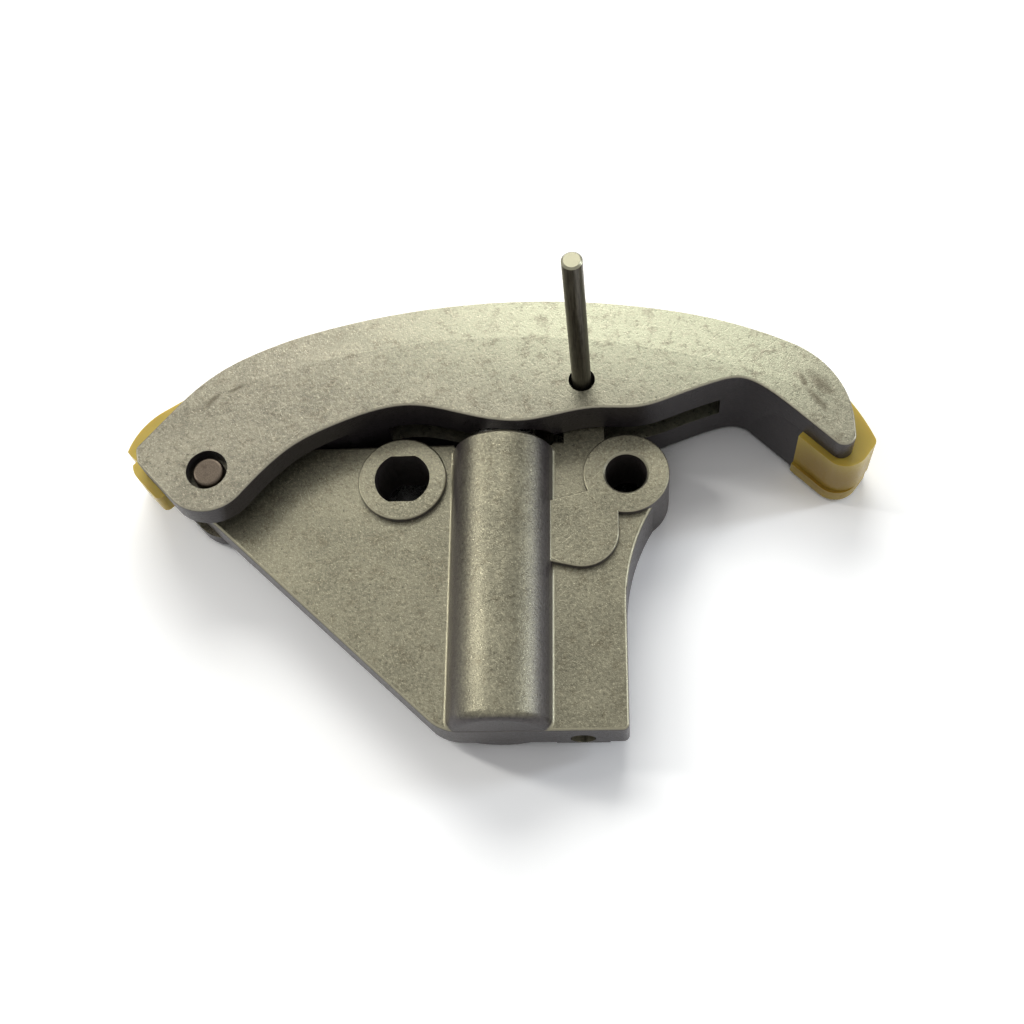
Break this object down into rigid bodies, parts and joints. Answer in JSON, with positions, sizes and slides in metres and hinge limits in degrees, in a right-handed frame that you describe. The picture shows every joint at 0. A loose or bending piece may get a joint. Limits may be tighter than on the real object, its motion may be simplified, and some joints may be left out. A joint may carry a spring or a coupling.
{
  "type": "oil pump chain tensioner",
  "caption": "Pivoting chain tensioner: a cast arm with a plastic slide shoe, pushed by a plunger in a bolt-on cast housing and held back by a locking pin.",
  "frame": {"origin": "on the axis of the round bolt hole, in the plane of the housing's mounting face", "axes": "+Z leaves the mounting face, +Y runs along the plunger towards the chain, +X runs from the pivot to the free end of the arm"},
  "size_m": [0.1189, 0.0706, 0.0498],
  "materials": {
    "housing_cast": "tumbled die casting, satin",
    "arm_cast": "tumbled die casting, satin",
    "shoe_polyamide": "amber polyamide, smooth",
    "pivot_pin_steel": "hardened steel, satin",
    "lock_pin_steel": "dark hardened steel, drawn",
    "plunger_steel": "ground hardened steel",
    "spring_steel": "oiled spring wire",
    "valve_steel": "pressed steel, satin",
    "ball_steel": "polished ball steel"
  },
  "bodies": {
    "housing": {"housing": "housing_cast", "valve_seat": "valve_steel", "ball_cage": "valve_steel", "gallery_ball": "ball_steel", "ball_spring": "spring_steel", "plunger_spring": "spring_steel"},
    "arm": {"tensioner_arm": "arm_cast", "slide_shoe": "shoe_polyamide", "pivot_pin": "pivot_pin_steel"},
    "plunger": {"plunger": "plunger_steel"},
    "check_ball": {"check_ball": "ball_steel"},
    "lock_pin": {"lock_pin": "lock_pin_steel"}
  },
  "joints": [
    {"name": "arm_pivot", "type": "hinge", "parent": "housing", "child": "arm", "pos_m": [-0.0651, -0.0004, 0.008], "axis": [0, 0, 1], "range_deg": [0, 8]},
    {"name": "plunger_slide", "type": "slide", "parent": "housing", "child": "plunger", "axis": [0, 1, 0], "range_m": [0, 0.0064], "deforming": ["plunger_spring"]},
    {"name": "check_ball_lift", "type": "slide", "parent": "housing", "child": "check_ball", "axis": [0, 1, 0], "range_m": [0, 0.0007], "deforming": ["ball_spring"]},
    {"name": "lock_pin_pull", "type": "slide", "parent": "arm", "child": "lock_pin", "axis": [0, 0, 1], "range_m": [0, 0.03]}
  ],
  "couplings": [
    {"joint": "plunger_slide", "follows": "arm_pivot", "m_per_rad": 0.0457}
  ]
}
